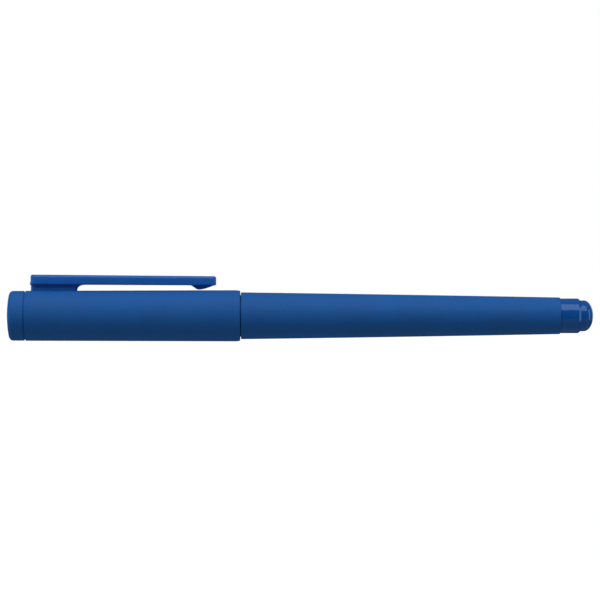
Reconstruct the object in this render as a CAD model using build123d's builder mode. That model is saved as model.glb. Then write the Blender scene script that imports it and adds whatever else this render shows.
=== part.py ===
from build123d import *
import os

os.makedirs("parts", exist_ok=True)

# A capped rollerball pen, in millimetres. The pen's axis is X and the writing point is
# the origin. +X runs back to the tail, and the clip is on the +Z side of the cap. The
# cap is on, the section is screwed home and the clip is closed.

# ---- refill -------------------------------------------------------------------------
REFILL_LENGTH = 110.5  # the usual capped-rollerball refill
REFILL_RADIUS = 3.1
REFILL_WALL = 0.35
REFILL_FRONT = 13.0  # from the writing point to the refill's front shoulder
REFILL_COLLAR_LENGTH = 1.0
REFILL_PLUG_LENGTH = 5.0  # how far the holder and the end plug reach into the tube
REFILL_END_FLANGE = 1.5
REFILL_NOSE_RADIUS = 1.25
VENT_RADIUS = 0.3
RESERVOIR_CLEARANCE = 0.05
RESERVOIR_GAP = 0.5
FEED_RADIUS = 0.45
FEED_BITE = 6.5  # how far the feed rod reaches into the reservoir

BALL_RADIUS = 0.35
BALL_CLEARANCE = 0.015
BALL_SHOW = 0.18  # how much of the ball stands out of its rim
BALL_RIM = 0.07
INK_CHANNEL_RADIUS = 0.2
POINT_CONE_LENGTH = 2.3
POINT_CONE_RADIUS = 0.95
POINT_COLLAR_RADIUS = 1.15
POINT_LENGTH = 4.4
POINT_SHANK_RADIUS = 0.85
POINT_SHANK_LENGTH = 2.6
POINT_BORE_START = 1.7

# ---- section ------------------------------------------------------------------------
SECTION_LENGTH = 36.0  # writing point to the barrel's mouth
SECTION_BORE_CLEARANCE = 0.15
SHOULDER_CLEARANCE = 0.05
NOSE_START = 3.0
NOSE_LENGTH = 8.0
NOSE_TIP_WALL = 0.35
NOSE_BULGE = 0.18  # how far the cone's side stands out of a straight line
NOSE_BORE_CLEARANCE = 0.15
NOSE_SHANK_WALL = 0.6
NOSE_SEAT_CLEARANCE = 0.1
GRIP_FRONT_WALL = 0.25
GRIP_WAIST_WALL = 0.47
GRIP_WAIST_MARGIN = 1.0
COLLAR_STEP = 0.6  # from the barrel's mouth down to the section's collar
COLLAR_LENGTH = 3.4
SEAL_LAND_STEP = 0.25
SEAL_LAND_LENGTH = 2.4
SEAL_WIRE_RADIUS = 0.55
SEAL_CLEARANCE = 0.03
TRIM_SETBACK = 1.2
TRIM_WIDTH = 1.0
TRIM_DEPTH = 0.4
TRIM_PROUD = 0.04

# ---- the thread between section and barrel ------------------------------------------
THREAD_PITCH = 1.2
THREAD_TURNS = 6
THREAD_DEPTH = 0.4
THREAD_BASE_WIDTH = 0.6
THREAD_CREST_WIDTH = 0.3
THREAD_CLEARANCE = 0.1
THREAD_WALL = 0.6
THREAD_LEAD = 1.2  # plain core in front of the ridge
THREAD_TAIL = 1.1  # plain core behind the ridge
THREAD_SINK = 0.15  # how far the ridge is rooted into its core
INSERT_WALL = 0.5
INSERT_SETBACK = 0.4
INSERT_OVERRUN = 0.9

# ---- barrel and tail ----------------------------------------------------------------
BARREL_MOUTH_WALL = 0.75
BARREL_TAIL_WALL = 0.78
BARREL_FULLNESS = 0.05  # how far the barrel swells out of a straight taper
BARREL_FULLNESS_AT = 23.0
BARREL_EDGE = 0.12
TAIL_SLEEVE_WALL = 0.35
TAIL_SLEEVE_LENGTH = 5.1
REFILL_REAR_ROOM = 1.63  # from the refill's end to the barrel's end
TAIL_RING_STEP = 0.22
TAIL_RING_LENGTH = 4.55
TAIL_RING_EDGE = 0.18
TAIL_NECK_STEP = 0.46
TAIL_NECK_LENGTH = 0.47
TAIL_DOME_LENGTH = 3.0
TAIL_DOME_BULGE = 1.55
TAIL_DOME_EDGE = 0.6
TAIL_END_WALL = 2.85
SPRING_RADIUS = 2.25  # to the middle of the wire
SPRING_WIRE_RADIUS = 0.2
SPRING_TURNS = 5
SPRING_CHAMBER_CLEARANCE = 0.3
SPRING_GAP = 0.05

# ---- cap ----------------------------------------------------------------------------
CAP_GAP = 0.2  # shadow gap between the cap and the barrel
CAP_CLEARANCE = 0.1
CAP_MOUTH_WALL = 1.02
CAP_TOP_WALL = 0.88
CAP_BEVEL_LENGTH = 1.0
CAP_BEVEL_DEPTH = 0.12
CAP_LIP_RADIUS = 0.25
CAP_TOP_EDGE = 0.1
CAP_LEAD_IN = 0.15
CROWN_LENGTH = 4.1
CROWN_STEP = 0.03
CROWN_DOME_HEIGHT = 0.62
CROWN_EDGE = 1.6
CROWN_GROOVE = 0.3
CROWN_GROOVE_DEPTH = 0.3
CROWN_SPIGOT_LENGTH = 1.35
CROWN_BOSS_RADIUS = 1.9
CROWN_BOSS_LENGTH = 2.0
POINT_ROOM = 1.6  # free space in front of the writing point
INNER_CAP_END = 0.8
INNER_CAP_NOSE_CLEARANCE = 0.65
INNER_CAP_STEP_AT = 10.6
INNER_CAP_CONE_AT = 2.0
POST_CLEARANCE = 0.04
POST_END_ROOM = 0.38

# ---- clip, its carrier and fasteners ------------------------------------------------
WEB_LENGTH = 10.9
WEB_WIDTH = 2.2
WEB_FIT = 0.02
CARRIER_LIP = 0.3
CARRIER_HEEL = 0.8
ARM_LEAD = 0.14  # how far the arm reaches in front of the web
ARM_LENGTH = 44.3
ARM_WIDTH = 4.0
ARM_ROOT_THICKNESS = 2.38
ARM_TIP_THICKNESS = 2.21
ARM_ROOT_GAP = 1.45
ARM_TIP_GAP = 1.14
ARM_CORNER = 0.5
ARM_EDGE = 0.4
ARM_WEB_OVERLAP = 1.0
GUSSET_LENGTH = 1.8
GUSSET_CLEARANCE = 0.05
BUMP_WIDTH = 2.0
BUMP_GAP = 0.2
BUMP_START = 38.3  # places along the arm, from its front end
BUMP_LOW = 40.2
BUMP_END = 43.6
PIN_RADIUS = 0.5
PIN_ABOVE_FOOT = 1.0
PIN_INSET = 0.3
SCREW_RADIUS = 1.0
SCREW_HEAD_RADIUS = 1.75
SCREW_HEAD_LENGTH = 1.8
SCREW_HEAD_RECESS = 2.3
SCREW_SOCKET_ACROSS_CORNERS = 1.6
SCREW_SOCKET_DEPTH = 1.0
SCREW_BITE = 2.4  # how far the screw reaches into the crown, past the carrier
SCREW_TO_FOOT = 0.65

# ---- stations along the axis --------------------------------------------------------
refill_rear = REFILL_LENGTH
tube_front = REFILL_FRONT + REFILL_COLLAR_LENGTH
tube_rear = refill_rear - REFILL_END_FLANGE
reservoir_front = tube_front + REFILL_PLUG_LENGTH + RESERVOIR_GAP
reservoir_rear = tube_rear - REFILL_PLUG_LENGTH - RESERVOIR_GAP
point_shank_rear = POINT_LENGTH + POINT_SHANK_LENGTH

nose_rear = NOSE_START + NOSE_LENGTH
nose_seat = REFILL_FRONT - NOSE_SEAT_CLEARANCE
barrel_front = SECTION_LENGTH
shoulder = barrel_front - SHOULDER_CLEARANCE
collar_front = shoulder - COLLAR_LENGTH
land_front = collar_front - SEAL_LAND_LENGTH
seal_middle = collar_front - SEAL_LAND_LENGTH / 2
trim_rear = shoulder - TRIM_SETBACK
trim_front = trim_rear - TRIM_WIDTH
ridge_front = barrel_front + THREAD_LEAD
ridge_length = THREAD_PITCH * THREAD_TURNS
ridge_rear = ridge_front + ridge_length
section_rear = ridge_rear + THREAD_TAIL
insert_front = barrel_front + INSERT_SETBACK
insert_rear = section_rear + INSERT_OVERRUN

barrel_rear = refill_rear + REFILL_REAR_ROOM
ring_rear = barrel_rear + TAIL_RING_LENGTH
dome_front = ring_rear + TAIL_NECK_LENGTH
dome_rear = dome_front + TAIL_DOME_LENGTH
chamber_front = refill_rear + REFILL_REAR_ROOM / 2
chamber_rear = dome_rear - TAIL_END_WALL
tail_length = dome_rear - barrel_rear

cap_mouth = barrel_front - CAP_GAP
inner_cap_front = -POINT_ROOM - INNER_CAP_END
inner_cap_rear = INNER_CAP_STEP_AT + tail_length + POST_END_ROOM
carrier_rear = inner_cap_front
web_rear = carrier_rear - CARRIER_HEEL
web_front = web_rear - WEB_LENGTH
carrier_front = web_front - CARRIER_LIP
crown_rear = carrier_front - CROWN_SPIGOT_LENGTH
crown_front = crown_rear - CROWN_LENGTH
shell_front = crown_rear + CROWN_GROOVE
screw_seat = carrier_rear - SCREW_HEAD_RECESS
screw_tip = carrier_front - SCREW_BITE

# ---- radii --------------------------------------------------------------------------
refill_bore = REFILL_RADIUS - REFILL_WALL
section_bore = REFILL_RADIUS + SECTION_BORE_CLEARANCE
thread_core = section_bore + THREAD_WALL
thread_crest = thread_core + THREAD_DEPTH
insert_bore = thread_core + THREAD_CLEARANCE
insert_root = thread_crest + THREAD_CLEARANCE
insert_radius = insert_root + INSERT_WALL
barrel_radius = insert_radius + BARREL_MOUTH_WALL
sleeve_radius = section_bore + TAIL_SLEEVE_WALL
tail_radius = sleeve_radius + BARREL_TAIL_WALL
ring_radius = tail_radius - TAIL_RING_STEP
dome_radius = ring_radius - TAIL_NECK_STEP
chamber_radius = SPRING_RADIUS + SPRING_WIRE_RADIUS + SPRING_CHAMBER_CLEARANCE
collar_radius = barrel_radius - COLLAR_STEP
land_radius = collar_radius - SEAL_LAND_STEP
seal_radius = collar_radius - SEAL_WIRE_RADIUS
nose_bore = REFILL_NOSE_RADIUS + NOSE_BORE_CLEARANCE
nose_tip_radius = nose_bore + NOSE_TIP_WALL
grip_front_radius = section_bore + GRIP_FRONT_WALL
grip_waist_radius = section_bore + GRIP_WAIST_WALL
nose_shank = grip_front_radius - NOSE_SHANK_WALL
cap_bore = collar_radius + CAP_CLEARANCE
cap_mouth_radius = cap_bore + CAP_MOUTH_WALL
cap_top_radius = cap_bore + CAP_TOP_WALL
crown_radius = cap_top_radius - CROWN_STEP
inner_cap_bore = ring_radius + POST_CLEARANCE
inner_cap_point_bore = nose_tip_radius + INNER_CAP_NOSE_CLEARANCE
foot_bottom = SCREW_HEAD_RADIUS + SCREW_TO_FOOT
pin_height = foot_bottom + PIN_ABOVE_FOOT


def cap_radius(x):
    """The cap's outer radius at a place along the axis."""
    along = (x - shell_front) / (cap_mouth - CAP_BEVEL_LENGTH - shell_front)
    return cap_top_radius + along * (cap_mouth_radius - cap_top_radius)


def arc_radius(half_chord, height):
    """The radius of an arc that stands a height above a chord."""
    return (half_chord**2 + height**2) / (2 * height)


def thread_plane(path):
    """The plane across a thread's path at its start, with its x axis pointing outwards."""
    start = path @ 0
    return Plane(origin=start, x_dir=(0, start.Y, start.Z), z_dir=path % 0)


# ==== refill =========================================================================
with BuildPart() as refill_tube:
    with BuildSketch(Plane.YZ.offset(tube_front)):
        Circle(REFILL_RADIUS)
        Circle(refill_bore, mode=Mode.SUBTRACT)
    extrude(amount=tube_rear - tube_front)
refill_tube.part.label = "refill_tube"
export_step(refill_tube.part, "parts/refill_tube.step")

with BuildPart() as refill_reservoir:
    with BuildSketch(Plane.YZ.offset(reservoir_front)):
        Circle(refill_bore - RESERVOIR_CLEARANCE)
    extrude(amount=reservoir_rear - reservoir_front)
    with BuildSketch(Plane.YZ.offset(reservoir_front)):
        Circle(FEED_RADIUS)
    extrude(amount=FEED_BITE, mode=Mode.SUBTRACT)
refill_reservoir.part.label = "refill_reservoir"
export_step(refill_reservoir.part, "parts/refill_reservoir.step")

with BuildPart() as refill_feed_rod:
    with BuildSketch(Plane.YZ.offset(POINT_BORE_START)):
        Circle(FEED_RADIUS)
    extrude(amount=reservoir_front + FEED_BITE - POINT_BORE_START)
refill_feed_rod.part.label = "refill_feed_rod"
export_step(refill_feed_rod.part, "parts/refill_feed_rod.step")

with BuildPart() as refill_tip_holder:
    with BuildSketch(Plane.XZ):
        with BuildLine():
            Polyline(
                (POINT_LENGTH, POINT_SHANK_RADIUS),
                (POINT_LENGTH, REFILL_NOSE_RADIUS),
                (REFILL_FRONT, REFILL_NOSE_RADIUS),
                (REFILL_FRONT, REFILL_RADIUS),
                (tube_front, REFILL_RADIUS),
                (tube_front, refill_bore),
                (tube_front + REFILL_PLUG_LENGTH, refill_bore),
                (tube_front + REFILL_PLUG_LENGTH, FEED_RADIUS),
                (point_shank_rear, FEED_RADIUS),
                (point_shank_rear, POINT_SHANK_RADIUS),
                close=True,
            )
        make_face()
    revolve(axis=Axis.X)
refill_tip_holder.part.label = "refill_tip_holder"
export_step(refill_tip_holder.part, "parts/refill_tip_holder.step")

with BuildPart() as refill_point:
    with BuildSketch(Plane.XZ):
        with BuildLine():
            Polyline(
                (BALL_SHOW, 0),
                (BALL_SHOW, BALL_RADIUS + BALL_RIM),
                (POINT_CONE_LENGTH, POINT_CONE_RADIUS),
                (POINT_CONE_LENGTH, POINT_COLLAR_RADIUS),
                (POINT_LENGTH, POINT_COLLAR_RADIUS),
                (POINT_LENGTH, POINT_SHANK_RADIUS),
                (point_shank_rear, POINT_SHANK_RADIUS),
                (point_shank_rear, FEED_RADIUS),
                (POINT_BORE_START, FEED_RADIUS),
                (POINT_BORE_START, INK_CHANNEL_RADIUS),
                (BALL_RADIUS, INK_CHANNEL_RADIUS),
                (BALL_RADIUS, 0),
                close=True,
            )
        make_face()
    revolve(axis=Axis.X)
    with Locations((BALL_RADIUS, 0, 0)):
        Sphere(BALL_RADIUS + BALL_CLEARANCE, mode=Mode.SUBTRACT)
refill_point.part.label = "refill_point"
export_step(refill_point.part, "parts/refill_point.step")

with BuildPart() as refill_ball:
    with Locations((BALL_RADIUS, 0, 0)):
        Sphere(BALL_RADIUS)
refill_ball.part.label = "refill_ball"
export_step(refill_ball.part, "parts/refill_ball.step")

with BuildPart() as refill_end_plug:
    with BuildSketch(Plane.YZ.offset(tube_rear - REFILL_PLUG_LENGTH)):
        Circle(refill_bore)
        Circle(VENT_RADIUS, mode=Mode.SUBTRACT)
    extrude(amount=REFILL_PLUG_LENGTH)
    with BuildSketch(Plane.YZ.offset(tube_rear)):
        Circle(REFILL_RADIUS)
        Circle(VENT_RADIUS, mode=Mode.SUBTRACT)
    extrude(amount=REFILL_END_FLANGE)
refill_end_plug.part.label = "refill_end_plug"
export_step(refill_end_plug.part, "parts/refill_end_plug.step")

# ==== section ========================================================================
with BuildPart() as grip_section:
    with BuildSketch(Plane.XZ):
        with BuildLine():
            grip_side = Spline(
                (nose_rear, grip_front_radius),
                (inner_cap_rear + GRIP_WAIST_MARGIN, grip_waist_radius),
                (land_front, land_radius),
            )
            Polyline(
                grip_side @ 1,
                (seal_middle - SEAL_WIRE_RADIUS, land_radius),
                (seal_middle - SEAL_WIRE_RADIUS, seal_radius - SEAL_WIRE_RADIUS),
                (seal_middle + SEAL_WIRE_RADIUS, seal_radius - SEAL_WIRE_RADIUS),
                (seal_middle + SEAL_WIRE_RADIUS, land_radius),
                (collar_front, land_radius),
                (collar_front, collar_radius),
                (trim_front, collar_radius),
                (trim_front, collar_radius - TRIM_DEPTH),
                (trim_rear, collar_radius - TRIM_DEPTH),
                (trim_rear, collar_radius),
                (shoulder, collar_radius),
                (shoulder, thread_core),
                (section_rear, thread_core),
                (section_rear, section_bore),
                (nose_seat, section_bore),
                (nose_seat, nose_shank),
                (nose_rear, nose_shank),
                grip_side @ 0,
            )
        make_face()
    revolve(axis=Axis.X)
    with BuildLine() as ridge_path:
        Helix(THREAD_PITCH, ridge_length, thread_core, (ridge_front, 0, 0), (1, 0, 0))
    with BuildSketch(thread_plane(ridge_path.line)):
        with BuildLine():
            Polyline(
                (-THREAD_SINK, -THREAD_BASE_WIDTH / 2),
                (0, -THREAD_BASE_WIDTH / 2),
                (THREAD_DEPTH, -THREAD_CREST_WIDTH / 2),
                (THREAD_DEPTH, THREAD_CREST_WIDTH / 2),
                (0, THREAD_BASE_WIDTH / 2),
                (-THREAD_SINK, THREAD_BASE_WIDTH / 2),
                close=True,
            )
        make_face()
    sweep(path=ridge_path.line, is_frenet=True)
grip_section.part.label = "grip_section"
export_step(grip_section.part, "parts/grip_section.step")

with BuildPart() as nose_cone:
    with BuildSketch(Plane.XZ):
        with BuildLine():
            cone_middle = (
                NOSE_START + NOSE_LENGTH / 2,
                (nose_tip_radius + grip_front_radius) / 2 + NOSE_BULGE,
            )
            cone_side = Spline(
                (NOSE_START, nose_tip_radius),
                cone_middle,
                (nose_rear, grip_front_radius),
            )
            Polyline(
                cone_side @ 1,
                (nose_rear, nose_shank),
                (nose_seat, nose_shank),
                (nose_seat, nose_bore),
                (NOSE_START, nose_bore),
                cone_side @ 0,
            )
        make_face()
    revolve(axis=Axis.X)
nose_cone.part.label = "nose_cone"
export_step(nose_cone.part, "parts/nose_cone.step")

with BuildPart() as section_ring:
    with BuildSketch(Plane.YZ.offset(trim_front)):
        Circle(collar_radius + TRIM_PROUD)
        Circle(collar_radius - TRIM_DEPTH, mode=Mode.SUBTRACT)
    extrude(amount=TRIM_WIDTH)
section_ring.part.label = "section_ring"
export_step(section_ring.part, "parts/section_ring.step")

with BuildPart() as cap_seal_ring:
    with BuildSketch(Plane.XZ):
        with Locations((seal_middle, seal_radius + SEAL_CLEARANCE)):
            Circle(SEAL_WIRE_RADIUS - SEAL_CLEARANCE)
    revolve(axis=Axis.X)
cap_seal_ring.part.label = "cap_seal_ring"
export_step(cap_seal_ring.part, "parts/cap_seal_ring.step")

# ==== barrel and tail ================================================================
with BuildPart() as barrel:
    with BuildSketch(Plane.XZ):
        with BuildLine():
            taper = (barrel_radius - tail_radius) / (barrel_rear - barrel_front)
            swell = (
                barrel_front + BARREL_FULLNESS_AT,
                barrel_radius - taper * BARREL_FULLNESS_AT + BARREL_FULLNESS,
            )
            barrel_side = Spline(
                (barrel_front + BARREL_EDGE, barrel_radius),
                swell,
                (barrel_rear, tail_radius),
            )
            Polyline(
                barrel_side @ 1,
                (barrel_rear, sleeve_radius),
                (insert_rear, sleeve_radius),
                (insert_rear, insert_radius),
                (barrel_front, insert_radius),
                (barrel_front, barrel_radius - BARREL_EDGE),
                barrel_side @ 0,
            )
        make_face()
    revolve(axis=Axis.X)
barrel.part.label = "barrel"
export_step(barrel.part, "parts/barrel.step")

with BuildPart() as thread_insert:
    with BuildSketch(Plane.YZ.offset(insert_front)):
        Circle(insert_radius)
        Circle(insert_bore, mode=Mode.SUBTRACT)
    extrude(amount=insert_rear - insert_front)
    groove_front = ridge_front - THREAD_PITCH
    groove_length = ridge_length + 2 * THREAD_PITCH
    with BuildLine() as groove_path:
        Helix(THREAD_PITCH, groove_length, thread_core, (groove_front, 0, 0), (1, 0, 0))
    with BuildSketch(thread_plane(groove_path.line)):
        with BuildLine():
            Polyline(
                (0, -THREAD_BASE_WIDTH / 2 - THREAD_CLEARANCE),
                (insert_root - thread_core, -THREAD_CREST_WIDTH / 2 - THREAD_CLEARANCE),
                (insert_root - thread_core, THREAD_CREST_WIDTH / 2 + THREAD_CLEARANCE),
                (0, THREAD_BASE_WIDTH / 2 + THREAD_CLEARANCE),
                close=True,
            )
        make_face()
    sweep(path=groove_path.line, is_frenet=True, mode=Mode.SUBTRACT)
thread_insert.part.label = "thread_insert"
export_step(thread_insert.part, "parts/thread_insert.step")

with BuildPart() as tail_plug:
    with BuildSketch(Plane.XZ):
        with BuildLine():
            dome_shoulder = (dome_rear - TAIL_DOME_BULGE, dome_radius)
            dome_sphere = arc_radius(dome_radius, TAIL_DOME_BULGE)
            Polyline(
                (dome_rear, 0),
                (chamber_rear, 0),
                (chamber_rear, chamber_radius),
                (chamber_front, chamber_radius),
                (chamber_front, section_bore),
                (barrel_rear - TAIL_SLEEVE_LENGTH, section_bore),
                (barrel_rear - TAIL_SLEEVE_LENGTH, sleeve_radius),
                (barrel_rear, sleeve_radius),
                (barrel_rear, ring_radius),
                (ring_rear - TAIL_RING_EDGE, ring_radius),
                (dome_front, dome_radius),
                dome_shoulder,
            )
            RadiusArc(dome_shoulder, (dome_rear, 0), dome_sphere)
        make_face()
        fillet(vertices().sort_by_distance(dome_shoulder)[0], radius=TAIL_DOME_EDGE)
    revolve(axis=Axis.X)
tail_plug.part.label = "tail_plug"
export_step(tail_plug.part, "parts/tail_plug.step")

with BuildPart() as refill_spring:
    spring_front = refill_rear + SPRING_GAP + SPRING_WIRE_RADIUS
    spring_length = chamber_rear - SPRING_GAP - SPRING_WIRE_RADIUS - spring_front
    with BuildLine() as spring_path:
        Helix(
            spring_length / SPRING_TURNS,
            spring_length,
            SPRING_RADIUS,
            (spring_front, 0, 0),
            (1, 0, 0),
        )
    with BuildSketch(thread_plane(spring_path.line)):
        Circle(SPRING_WIRE_RADIUS)
    sweep(path=spring_path.line, is_frenet=True)
refill_spring.part.label = "refill_spring"
export_step(refill_spring.part, "parts/refill_spring.step")

# ==== cap ============================================================================
with BuildPart() as cap_shell:
    with BuildSketch(Plane.XZ):
        with BuildLine():
            Polyline(
                (shell_front, cap_bore),
                (shell_front, cap_top_radius - CAP_TOP_EDGE),
                (shell_front + CAP_TOP_EDGE, cap_top_radius),
                (cap_mouth - CAP_BEVEL_LENGTH, cap_mouth_radius),
                (cap_mouth, cap_mouth_radius - CAP_BEVEL_DEPTH),
                (cap_mouth, cap_bore + CAP_LEAD_IN),
                (cap_mouth - CAP_LEAD_IN, cap_bore),
                close=True,
            )
        make_face()
        lip = vertices().sort_by(Axis.X)[-2:].sort_by(Axis.Y)[-1]
        fillet(lip, radius=CAP_LIP_RADIUS)
    revolve(axis=Axis.X)
    with BuildSketch(Plane.XY):
        with Locations(((web_front + web_rear) / 2, 0)):
            SlotOverall(WEB_LENGTH + 2 * WEB_FIT, WEB_WIDTH + 2 * WEB_FIT)
    extrude(amount=2 * cap_mouth_radius, mode=Mode.SUBTRACT)
cap_shell.part.label = "cap_shell"
export_step(cap_shell.part, "parts/cap_shell.step")

with BuildPart() as cap_crown:
    with BuildSketch(Plane.XZ):
        with BuildLine():
            dome_edge = (crown_front + CROWN_DOME_HEIGHT, crown_radius)
            crown_sphere = arc_radius(crown_radius, CROWN_DOME_HEIGHT)
            RadiusArc((crown_front, 0), dome_edge, crown_sphere)
            Polyline(
                dome_edge,
                (crown_rear, crown_radius),
                (crown_rear, crown_radius - CROWN_GROOVE_DEPTH),
                (shell_front, crown_radius - CROWN_GROOVE_DEPTH),
                (shell_front, cap_bore),
                (carrier_front, cap_bore),
                (carrier_front, CROWN_BOSS_RADIUS),
                (carrier_front + CROWN_BOSS_LENGTH, CROWN_BOSS_RADIUS),
                (carrier_front + CROWN_BOSS_LENGTH, SCREW_RADIUS),
                (screw_tip, SCREW_RADIUS),
                (screw_tip, 0),
                (crown_front, 0),
            )
        make_face()
        rim = vertices().sort_by(Axis.Y)[-2:].sort_by(Axis.X)[0]
        fillet(rim, radius=CROWN_EDGE)
    revolve(axis=Axis.X)
cap_crown.part.label = "cap_crown"
export_step(cap_crown.part, "parts/cap_crown.step")

with BuildPart() as inner_cap:
    with BuildSketch(Plane.XZ):
        with BuildLine():
            Polyline(
                (inner_cap_front, 0),
                (inner_cap_front, cap_bore),
                (inner_cap_rear, cap_bore),
                (inner_cap_rear, inner_cap_bore),
                (INNER_CAP_STEP_AT, inner_cap_bore),
                (INNER_CAP_CONE_AT, inner_cap_point_bore),
                (-POINT_ROOM, inner_cap_point_bore),
                (-POINT_ROOM, 0),
                close=True,
            )
        make_face()
    revolve(axis=Axis.X)
inner_cap.part.label = "inner_cap"
export_step(inner_cap.part, "parts/inner_cap.step")

with BuildPart() as clip_carrier:
    with BuildSketch(Plane.YZ.offset(carrier_front)):
        Circle(cap_bore)
        Circle(SCREW_RADIUS, mode=Mode.SUBTRACT)
    extrude(amount=carrier_rear - carrier_front)
    with BuildSketch(Plane.YZ.offset(carrier_front)):
        Circle(CROWN_BOSS_RADIUS)
    extrude(amount=CROWN_BOSS_LENGTH, mode=Mode.SUBTRACT)
    with BuildSketch(Plane.YZ.offset(screw_seat)):
        Circle(SCREW_HEAD_RADIUS)
    extrude(amount=SCREW_HEAD_RECESS, mode=Mode.SUBTRACT)
    with BuildSketch(Plane.XY.offset(foot_bottom)):
        with Locations(((web_front + web_rear) / 2, 0)):
            SlotOverall(WEB_LENGTH + 2 * WEB_FIT, WEB_WIDTH + 2 * WEB_FIT)
    extrude(amount=cap_bore, mode=Mode.SUBTRACT)
    with BuildSketch(Plane.XZ):
        with Locations(((web_front + web_rear) / 2, pin_height)):
            Circle(PIN_RADIUS)
    extrude(amount=cap_bore, both=True, mode=Mode.SUBTRACT)
clip_carrier.part.label = "clip_carrier"
export_step(clip_carrier.part, "parts/clip_carrier.step")

with BuildPart() as clip_pin:
    pin_half_length = (cap_bore**2 - (pin_height + PIN_RADIUS) ** 2) ** 0.5 - PIN_INSET
    with BuildSketch(Plane.XZ):
        with Locations(((web_front + web_rear) / 2, pin_height)):
            Circle(PIN_RADIUS)
    extrude(amount=pin_half_length, both=True)
clip_pin.part.label = "clip_pin"
export_step(clip_pin.part, "parts/clip_pin.step")

with BuildPart() as crown_screw:
    with BuildSketch(Plane.YZ.offset(screw_tip)):
        Circle(SCREW_RADIUS)
    extrude(amount=screw_seat - screw_tip)
    with BuildSketch(Plane.YZ.offset(screw_seat)):
        Circle(SCREW_HEAD_RADIUS)
    extrude(amount=SCREW_HEAD_LENGTH)
    with BuildSketch(Plane.YZ.offset(screw_seat + SCREW_HEAD_LENGTH - SCREW_SOCKET_DEPTH)):
        RegularPolygon(SCREW_SOCKET_ACROSS_CORNERS / 2, 6)
    extrude(amount=SCREW_SOCKET_DEPTH, mode=Mode.SUBTRACT)
crown_screw.part.label = "crown_screw"
export_step(crown_screw.part, "parts/crown_screw.step")

# ==== clip ===========================================================================
with BuildPart() as pocket_clip:
    arm_front = web_front - ARM_LEAD
    arm_tip = arm_front + ARM_LENGTH
    root_under = cap_radius(web_rear) + ARM_ROOT_GAP
    tip_under = cap_radius(arm_tip) + ARM_TIP_GAP
    with BuildSketch(Plane.XZ):
        with BuildLine():
            Polyline(
                (arm_front, root_under),
                (arm_front, root_under + ARM_ROOT_THICKNESS),
                (arm_tip, tip_under + ARM_TIP_THICKNESS),
                (arm_tip, tip_under),
                close=True,
            )
        make_face()
    extrude(amount=ARM_WIDTH / 2, both=True)
    upright = edges().filter_by(Axis.Z)
    fillet(upright, radius=ARM_CORNER)
    fillet(faces().sort_by(Axis.Z)[-1].edges(), radius=ARM_EDGE)
    with BuildSketch(Plane.XY.offset(foot_bottom)):
        with Locations(((web_front + web_rear) / 2, 0)):
            SlotOverall(WEB_LENGTH, WEB_WIDTH)
    extrude(amount=root_under + ARM_WEB_OVERLAP - foot_bottom)
    gusset_bottom = cap_radius(web_rear) + GUSSET_CLEARANCE
    with BuildSketch(Plane.XZ):
        with BuildLine():
            gusset_arc = SagittaArc(
                (web_rear, gusset_bottom),
                (web_rear + GUSSET_LENGTH, root_under),
                GUSSET_LENGTH / 6,
            )
            Polyline(
                gusset_arc @ 1,
                (web_rear + GUSSET_LENGTH, root_under + ARM_WEB_OVERLAP),
                (web_rear - WEB_WIDTH / 2, root_under + ARM_WEB_OVERLAP),
                (web_rear - WEB_WIDTH / 2, gusset_bottom),
                gusset_arc @ 0,
            )
        make_face()
    extrude(amount=WEB_WIDTH / 2, both=True)
    with BuildSketch(Plane.XZ):
        with BuildLine():
            bump_side = Spline(
                (arm_front + BUMP_START, tip_under),
                (arm_front + BUMP_LOW, cap_radius(arm_front + BUMP_LOW) + BUMP_GAP),
                (arm_front + BUMP_END, tip_under),
            )
            Polyline(
                bump_side @ 1,
                (arm_front + BUMP_END, tip_under + ARM_WEB_OVERLAP),
                (arm_front + BUMP_START, tip_under + ARM_WEB_OVERLAP),
                bump_side @ 0,
            )
        make_face()
    extrude(amount=BUMP_WIDTH / 2, both=True)
    with BuildSketch(Plane.XZ):
        with Locations(((web_front + web_rear) / 2, pin_height)):
            Circle(PIN_RADIUS)
    extrude(amount=WEB_WIDTH, both=True, mode=Mode.SUBTRACT)
pocket_clip.part.label = "pocket_clip"
export_step(pocket_clip.part, "parts/pocket_clip.step")
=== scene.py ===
"""The looks of a capped rollerball pen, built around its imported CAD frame.

Sizes are in millimetres, apart from the lamps', which are in metres. Every surface is worked out with
numpy in the frame's own axes: X runs along the pen from the writing point to the tail, and Z points
from the axis towards the clip.
"""
from __future__ import annotations

import logging
import math
from collections.abc import Callable, Sequence
from dataclasses import dataclass
from enum import Enum

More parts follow.
